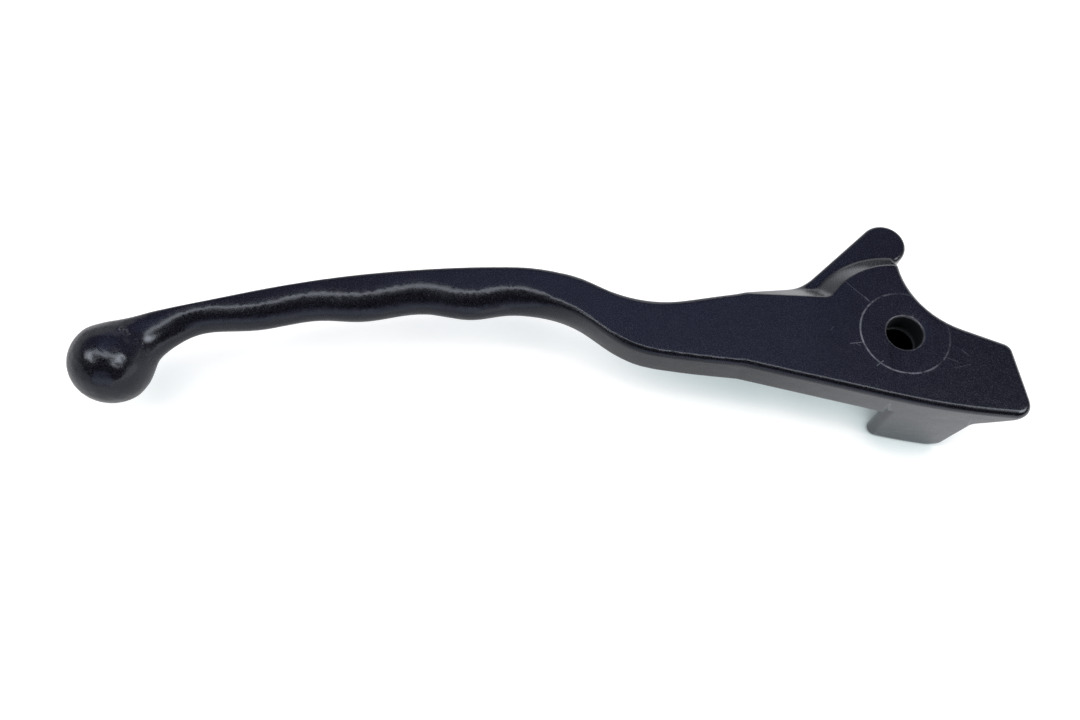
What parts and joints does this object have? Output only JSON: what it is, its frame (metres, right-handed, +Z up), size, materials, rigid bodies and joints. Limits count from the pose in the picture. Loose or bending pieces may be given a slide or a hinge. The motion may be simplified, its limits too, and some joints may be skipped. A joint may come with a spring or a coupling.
{
  "type": "motorcycle brake lever",
  "caption": "Cast motorcycle front brake lever with a pivot bore, a piston ear, a switch lug, a finger-grooved grip and a ball end.",
  "frame": {"origin": "on the pivot bore's axis, in the casting's parting plane half way up the head plate", "axes": "+Z up the pivot bore, away from the switch lug; the ball end points to -X; the fingers press on the -Y side and the handlebar lies on the +Y side"},
  "size_m": [0.2085, 0.0501, 0.0264],
  "materials": {
    "black_coat": "satin black coat on cast aluminium, lightly scratched"
  },
  "bodies": {
    "root": {"brake_lever": "black_coat"}
  },
  "joints": []
}
